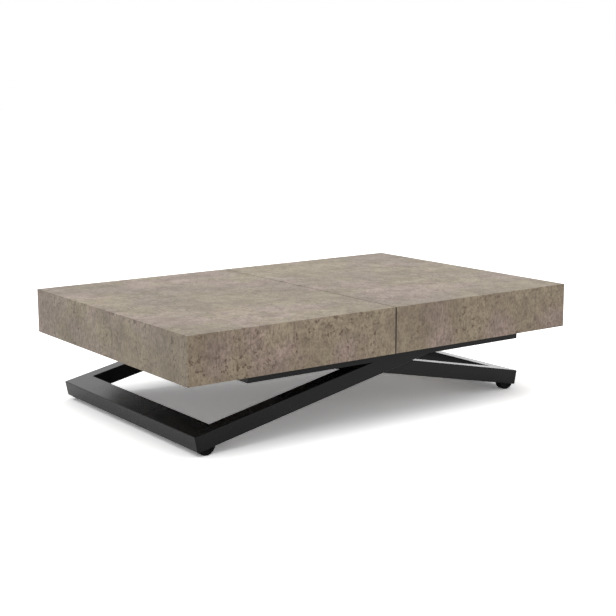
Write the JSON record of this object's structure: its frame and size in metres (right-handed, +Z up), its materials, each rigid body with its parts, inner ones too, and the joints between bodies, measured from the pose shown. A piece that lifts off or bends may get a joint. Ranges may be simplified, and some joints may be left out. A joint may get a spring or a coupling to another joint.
{
  "type": "convertible coffee and dining table",
  "caption": "Low rectangular box-top table on crossed black leg frames with wheels, whose top lifts on a scissor and slides apart in the middle to take stored leaves.",
  "frame": {"origin": "on the floor, under the middle of the closed top", "axes": "+X along the length of the top, +Y to the back, +Z up"},
  "size_m": [1.2, 0.8, 0.3039],
  "materials": {
    "concrete_laminate": "matt concrete-look laminate on particle board",
    "leg_black": "satin black powder coat",
    "frame_black": "matt black powder coat",
    "cylinder_black": "gloss black enamel",
    "black_nylon": "moulded black nylon",
    "wheel_rubber": "moulded black rubber",
    "zinc_steel": "bright zinc plate",
    "slide_steel": "zinc-plated rolled sheet",
    "chromed_rod": "hard chrome, polished",
    "batten_wood": "planed beech"
  },
  "bodies": {
    "right_axle": {"right_axle": "zinc_steel"},
    "inner_legs": {"inner_front_leg": "leg_black", "inner_rear_leg": "leg_black", "inner_foot_bar": "leg_black", "inner_wheel_cheeks": "leg_black", "inner_brace": "leg_black", "inner_leg_plugs": "black_nylon", "inner_sleeves": "leg_black"},
    "outer_legs": {"outer_front_leg": "leg_black", "outer_rear_leg": "leg_black", "outer_foot_bar": "leg_black", "outer_wheel_cheeks": "leg_black", "outer_brace": "leg_black", "outer_leg_plugs": "black_nylon", "outer_sleeves": "leg_black", "left_axle": "zinc_steel", "scissor_bolts": "leg_black", "scissor_nuts": "zinc_steel", "pivot_washers": "zinc_steel"},
    "sub_frame": {"front_side_rail": "frame_black", "rear_side_rail": "frame_black", "left_end_rail": "frame_black", "right_end_rail": "frame_black", "front_web": "frame_black", "rear_web": "frame_black", "cross_rail": "frame_black", "leaf_bars": "frame_black", "leaf_posts": "frame_black", "slide_tracks": "frame_black", "top_pivot_pins": "zinc_steel", "top_pivot_brackets": "frame_black", "gas_spring_cylinders": "cylinder_black", "gas_spring_anchors": "frame_black", "lower_leaf": "concrete_laminate", "upper_leaf": "concrete_laminate", "left_slide_outers": "slide_steel", "right_slide_outers": "slide_steel"},
    "carriage": {"slide_shaft": "zinc_steel", "slide_blocks": "black_nylon", "gas_spring_eyes": "zinc_steel", "gas_spring_rods": "chromed_rod"},
    "left_top": {"left_top_board": "concrete_laminate", "left_front_apron": "concrete_laminate", "left_rear_apron": "concrete_laminate", "left_end_apron": "concrete_laminate", "left_battens": "batten_wood", "left_slide_inners": "slide_steel", "seam_pins": "batten_wood"},
    "right_top": {"right_top_board": "concrete_laminate", "right_front_apron": "concrete_laminate", "right_rear_apron": "concrete_laminate", "right_end_apron": "concrete_laminate", "right_battens": "batten_wood", "right_slide_inners": "slide_steel"},
    "left_slide_middles": {"left_slide_middles": "slide_steel"},
    "right_slide_middles": {"right_slide_middles": "slide_steel"},
    "front_left_wheel": {"front_left_wheel": "wheel_rubber"},
    "rear_left_wheel": {"rear_left_wheel": "wheel_rubber"},
    "front_right_wheel": {"front_right_wheel": "wheel_rubber"},
    "rear_right_wheel": {"rear_right_wheel": "wheel_rubber"}
  },
  "joints": [
    {"name": "lift", "type": "hinge", "parent": "right_axle", "child": "inner_legs", "pos_m": [0.49519, 0, 0.025], "axis": [0, 1, 0], "range_deg": [0, 33]},
    {"name": "scissor_pivot", "type": "hinge", "parent": "inner_legs", "child": "outer_legs", "pos_m": [-0.012, 0, 0.14257], "axis": [0, 1, 0], "range_deg": [-66, 0]},
    {"name": "top_pivot", "type": "hinge", "parent": "outer_legs", "child": "sub_frame", "pos_m": [0.3747, 0, 0.22286], "axis": [0, 1, 0], "range_deg": [0, 33]},
    {"name": "shaft_pivot", "type": "hinge", "parent": "inner_legs", "child": "carriage", "pos_m": [-0.3987, 0, 0.22286], "axis": [0, 1, 0], "range_deg": [-33, 0]},
    {"name": "left_extend", "type": "slide", "parent": "sub_frame", "child": "left_top", "axis": [-1, 0, 0], "range_m": [0, 0.43]},
    {"name": "right_extend", "type": "slide", "parent": "sub_frame", "child": "right_top", "axis": [1, 0, 0], "range_m": [0, 0.43]},
    {"name": "left_slides", "type": "slide", "parent": "sub_frame", "child": "left_slide_middles", "axis": [-1, 0, 0], "range_m": [0, 0.215]},
    {"name": "right_slides", "type": "slide", "parent": "sub_frame", "child": "right_slide_middles", "axis": [1, 0, 0], "range_m": [0, 0.215]},
    {"name": "front_left_roll", "type": "hinge", "parent": "outer_legs", "child": "front_left_wheel", "pos_m": [-0.51919, -0.3309, 0.025], "axis": [0, 1, 0], "continuous": true},
    {"name": "rear_left_roll", "type": "hinge", "parent": "outer_legs", "child": "rear_left_wheel", "pos_m": [-0.51919, 0.3309, 0.025], "axis": [0, 1, 0], "continuous": true},
    {"name": "front_right_roll", "type": "hinge", "parent": "right_axle", "child": "front_right_wheel", "pos_m": [0.49519, -0.2809, 0.025], "axis": [0, 1, 0], "continuous": true},
    {"name": "rear_right_roll", "type": "hinge", "parent": "right_axle", "child": "rear_right_wheel", "pos_m": [0.49519, 0.2809, 0.025], "axis": [0, 1, 0], "continuous": true}
  ],
  "couplings": [
    {"joint": "scissor_pivot", "follows": "lift", "ratio": -2},
    {"joint": "top_pivot", "follows": "lift", "ratio": 1},
    {"joint": "shaft_pivot", "follows": "lift", "ratio": -1},
    {"joint": "left_slides", "follows": "left_extend", "ratio": 0.5},
    {"joint": "right_slides", "follows": "right_extend", "ratio": 0.5}
  ]
}
